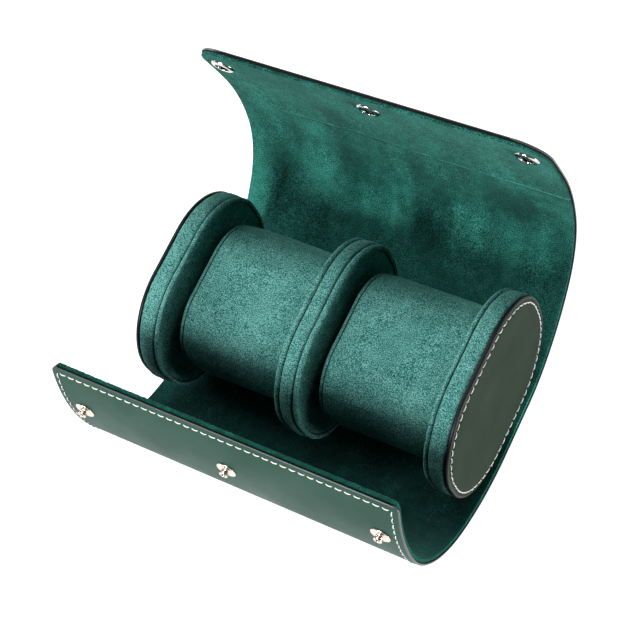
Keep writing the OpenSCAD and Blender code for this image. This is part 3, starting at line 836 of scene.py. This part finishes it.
def stitch_mesh(name, stitches, thread):
    """stitches are (middle, half vector along, outward normal), each a thread that rises from the leather and
    goes back in."""
    radius, bow = thread
    verts, faces = [], []
    for middle, along, up in stitches:
        half = along.length
        t = along.normalized()
        n = (up - t * up.dot(t)).normalized()
        b = t.cross(n)
        start = len(verts)
        for i in range(STITCH_RINGS):
            a = -1 + 2 * i / (STITCH_RINGS - 1)
            lift = 0.16 * (1 - a * a) - 0.3 * abs(a) ** 6
            thick = radius * (1 - 0.45 * abs(a) ** 4)
            for j in range(STITCH_AROUND):
                w = 2 * math.pi * j / STITCH_AROUND
                upwards = n * (lift * MM + math.sin(w) * thick * MM * 0.85)
                sideways = b * ((math.cos(w) * thick + bow * (1 - a * a)) * MM)
                verts.append(middle + t * (a * half) + upwards + sideways)
        for i in range(STITCH_RINGS - 1):
            tube_faces(faces, start, i, STITCH_AROUND)
        for i in (0, STITCH_RINGS - 1):
            faces.append([start + i * STITCH_AROUND + j for j in range(STITCH_AROUND)])
    return add(name, verts, faces, [THREAD])


def on_leather(x, u):
    """A point on the leather's outside, in metres, and its outward normal."""
    yz, n = place(u, WRAP_T)
    return Vector((x, yz[0], yz[1])) * MM, Vector((0, n[0], n[1]))


def flap_stitches():
    """The front flap's stitching, along the lip and down both sides, split where the wrap is cut."""
    half = FLAP_PITCH * FLAP_SHARE
    side_x = HALF_L - FLAP_IN
    top_u = FRONT_END + FLAP_IN
    xs = np.arange(-side_x + FLAP_PITCH / 2, side_x, FLAP_PITCH)
    xs += (side_x - FLAP_PITCH / 2 - xs[-1]) / 2
    cuts = mid_panels(-1)
    groups = {1: [], 2: [], 3: []}
    for x in xs:
        p, n = on_leather(x, top_u)
        groups[3].append((p, Vector((half * MM, 0, 0)), n))
    u = top_u + FLAP_PITCH / 2
    while u < run_at(-1, FRONT_STARTS[1][3] + 2):
        s = -u - FLAT
        i = 3 if s > cuts[2] else 2 if s > cuts[1] else 1
        for x in (-side_x, side_x):
            p0, _ = on_leather(x, u - half)
            p1, _ = on_leather(x, u + half)
            p, n = on_leather(x, u)
            groups[i].append((p, (p1 - p0) / 2, n))
        u += FLAP_PITCH
    for i, group in groups.items():
        o = stitch_mesh(f"{BENDS[-1][i]}_stitches", group, FLAP_THREAD)
        bend_over(o, -1, i)


def disc_stitches():
    ring = oval_outline(OVAL_W - 2 * DISC_IN, OVAL_H - 2 * DISC_IN, OVAL_R - DISC_IN, DISC_COUNT)
    for side, x0, direction in END_DIVIDERS:
        x = x0 + direction * DISC_STITCH_V
        stitches = []
        for a, b in zip(ring, np.roll(ring, -1, 0)):
            y, z = (a[:2] + b[:2]) / 2
            along = Vector((0, b[0] - a[0], b[1] - a[1])) * DISC_SHARE
            stitches.append((Vector((x, y, z + OVAL_Z)) * MM, along * MM, Vector((direction, 0, 0))))
        o = stitch_mesh(f"{side}_disc_stitches", stitches, DISC_THREAD)
        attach(o, "base")


flap_stitches()
disc_stitches()


# ---------------------------------------------------------------- press studs
AXIS = 0.01                        # radius at which a turned profile closes
TURN_STEPS = 56
# Profiles as [(radius, height)], each with the material of its steps; material 1 is painted shade in hollows
STUD = [(AXIS, 0.05), (4.3, 0.05), (4.5, 0.12), (4.56, 0.28), (4.42, 0.46), (4.1, 0.5), (3.8, 0.42),
        (3.4, 0.44), (2.7, 0.7), (2.15, 0.98), (1.92, 1.25), (1.8, 1.7), (1.82, 2.1), (1.97, 2.45),
        (2.0, 2.7), (1.88, 2.9), (1.6, 3.0), (1.25, 2.98), (1.0, 2.86), (0.9, 2.6), (0.88, 1.5), (AXIS, 1.4)]
STUD_INDEX = [0] * 19 + [1] * 2
SOCKET_RING = [(AXIS, -0.95), (3.5, -0.95), (3.6, -0.9), (3.7, 0.02), (5.4, 0.02), (5.55, 0.2), (5.5, 0.55),
               (5.2, 0.95), (4.7, 1.3), (4.15, 1.48), (3.75, 1.5), (3.42, 1.38), (3.3, 1.15), (3.34, 1.0),
               (3.9, 0.9), (4.05, 0.6), (3.9, 0.35), (3.34, 0.25), (3.3, 0.0), (3.3, -0.7), (2.4, -0.8),
               (2.0, -0.68), (1.6, -0.65), (1.2, -0.72), (1.1, -0.82), (AXIS, -0.84)]
SOCKET_INDEX = [0] * 13 + [1] * 6 + [0] * 4 + [1] * 2
CAP = [(AXIS, 0.0), (5.8, 0.0), (6.0, 0.12), (6.0, 0.3), (5.8, 0.5), (5.2, 0.72), (4.2, 0.92), (3.0, 1.07),
       (1.6, 1.16), (AXIS, 1.2)]
CAP_INDEX = [0] * 9
STUD_U, SOCKET_U = FRONT_END + STUD_INSET, LID_END - SOCKET_INSET


def lathe(name, profile, index, frames, materials):
    """Turns a profile at each frame (point, axis)."""
    verts, faces, face_index = [], [], []
    x, n, steps = Vector((1, 0, 0)), TURN_STEPS, len(profile) - 1
    for p, axis in frames:
        z = axis.normalized()
        y = z.cross(x)
        start = len(verts)
        for r, h in profile:
            for j in range(n):
                w = 2 * math.pi * j / n
                verts.append(p + (x * (math.cos(w) * r) + y * (math.sin(w) * r) + z * h) * MM)
        for i in range(steps):
            tube_faces(faces, start, i, n)
            face_index += [index[i]] * n
        for i, material in ((0, index[0]), (steps, index[-1])):
            faces.append([start + i * n + j for j in range(n)])
            face_index.append(material)
    return add(name, verts, faces, materials, face_index)


def snap_set(name, node, body, profile, index, materials, u, d, facing):
    """Three equal pieces of the snaps at run u and depth d, facing out (1) or in (-1)."""
    yz, n = place(u, d)
    axis = Vector((0, n[0], n[1])) * facing
    frames = [(Vector((x, yz[0], yz[1])) * MM, axis) for x in SNAP_XS]
    o = lathe(name, profile, index, frames, materials)
    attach(o, body)
    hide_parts(node)


snap_set("snap_stud_set", "snap_studs", "front_upper", STUD, STUD_INDEX, [NICKEL, SNAP_HOLLOW_SHADE], STUD_U, WRAP_T, 1)
snap_set("snap_socket_set", "snap_sockets", "lid_edge", SOCKET_RING, SOCKET_INDEX, [SOCKET, SNAP_HOLLOW_SHADE],
         SOCKET_U, 0.0, -1)
snap_set("snap_cap_set", "snap_caps", "lid_edge", CAP, CAP_INDEX, [NICKEL], SOCKET_U, WRAP_T + GLUE, 1)


# ---------------------------------------------------------------- CAD nodes that stay
def dress(node, material):
    mesh = nodes[node].data
    mesh.materials.clear()
    mesh.materials.append(material)
    set_places(mesh, points_of(mesh))


for board in ("front_stiffener", "lid_stiffener", "left_core", "middle_core", "right_core"):
    dress(board, BOARD)
dress("stud_rivets", NICKEL)
dress("socket_springs", STEEL)

# ---------------------------------------------------------------- stage, light, camera, in metres
FLOOR_HALF, FLOOR_Z = 8.0, -0.0002
FLOOR_GREY, FLOOR_GLOW = 0.4, 0.93
WORLD_GLOW = 0.1
AIM = (0, 0, 0.05)
# Name, place, the point it is aimed at, side of its square, power in watts
LIGHTS = [("key", (-0.235, -0.942, 0.755), AIM, 0.45, 21.0),
          ("side", (-1.113, 0.0, 0.5), AIM, 0.4, 4.7),
          ("side_back", (-0.924, 0.336, 0.738), AIM, 0.4, 2.8),
          ("top", (-0.262, 0.262, 1.191), AIM, 0.4, 3.1),
          ("back", (0.596, 0.851, 0.65), AIM, 0.4, 2.2),
          ("end", (0.55, -0.03, 0.07), (0.08, 0, 0.04), 0.12, 2.4)]
CAMERA_AT = (0.28052, -0.1723, 0.6741)
CAMERA_LOOKS = (-0.40441, 0.24738, -0.88049)
CAMERA_UP = (-0.316, 0.86564, 0.38835)
CAMERA_LENS, SENSOR_W = 92.359, 36.0
CLIP_NEAR, CLIP_FAR = 0.01, 20.0


def stage():
    """A pale floor with a glow of its own, which diffuse surfaces don't receive."""
    mesh = bpy.data.meshes.new("floor")
    s, z = FLOOR_HALF, FLOOR_Z
    mesh.from_pydata([(-s, -s, z), (s, -s, z), (s, s, z), (-s, s, z)], [], [(0, 1, 2, 3)])
    material, _, shader = new_material("floor_white")
    shader.inputs["Base Color"].default_value = (FLOOR_GREY, FLOOR_GREY, FLOOR_GREY, 1)
    shader.inputs["Roughness"].default_value = 0.9
    shader.inputs["Emission Color"].default_value = (1, 1, 1, 1)
    shader.inputs["Emission Strength"].default_value = FLOOR_GLOW
    mesh.materials.append(material)
    o = bpy.data.objects.new("floor", mesh)
    scene.collection.objects.link(o)
    o.visible_diffuse = False


def area_light(name, where, target, size, power):
    light = bpy.data.lights.new(name, "AREA")
    light.shape = "RECTANGLE"
    light.size = light.size_y = size
    light.energy = power
    o = bpy.data.objects.new(name, light)
    scene.collection.objects.link(o)
    o.location = where
    o.rotation_mode = "QUATERNION"
    o.rotation_quaternion = (Vector(target) - Vector(where)).to_track_quat("-Z", "Y")


def studio_world():
    """A faint white surrounding that diffuse surfaces don't receive."""
    world = bpy.data.worlds.new("studio")
    scene.world = world
    world.use_nodes = True
    background = world.node_tree.nodes["Background"]
    background.inputs["Color"].default_value = (1, 1, 1, 1)
    background.inputs["Strength"].default_value = WORLD_GLOW
    world.cycles_visibility.diffuse = False


def photo_camera():
    """The camera that was fitted to the photograph."""
    data = bpy.data.cameras.new("camera")
    camera = bpy.data.objects.new("camera", data)
    scene.collection.objects.link(camera)
    data.sensor_width = SENSOR_W
    data.lens = CAMERA_LENS
    data.clip_start, data.clip_end = CLIP_NEAR, CLIP_FAR
    back = -Vector(CAMERA_LOOKS).normalized()
    right = Vector(CAMERA_UP).cross(back).normalized()
    up = back.cross(right)
    turn = Matrix((right, up, back)).transposed().to_4x4()
    camera.matrix_world = Matrix.Translation(CAMERA_AT) @ turn
    scene.camera = camera


stage()
for light_row in LIGHTS:
    area_light(*light_row)
studio_world()
photo_camera()
scene.view_settings.view_transform = "Standard"

bpy.context.view_layer.update()
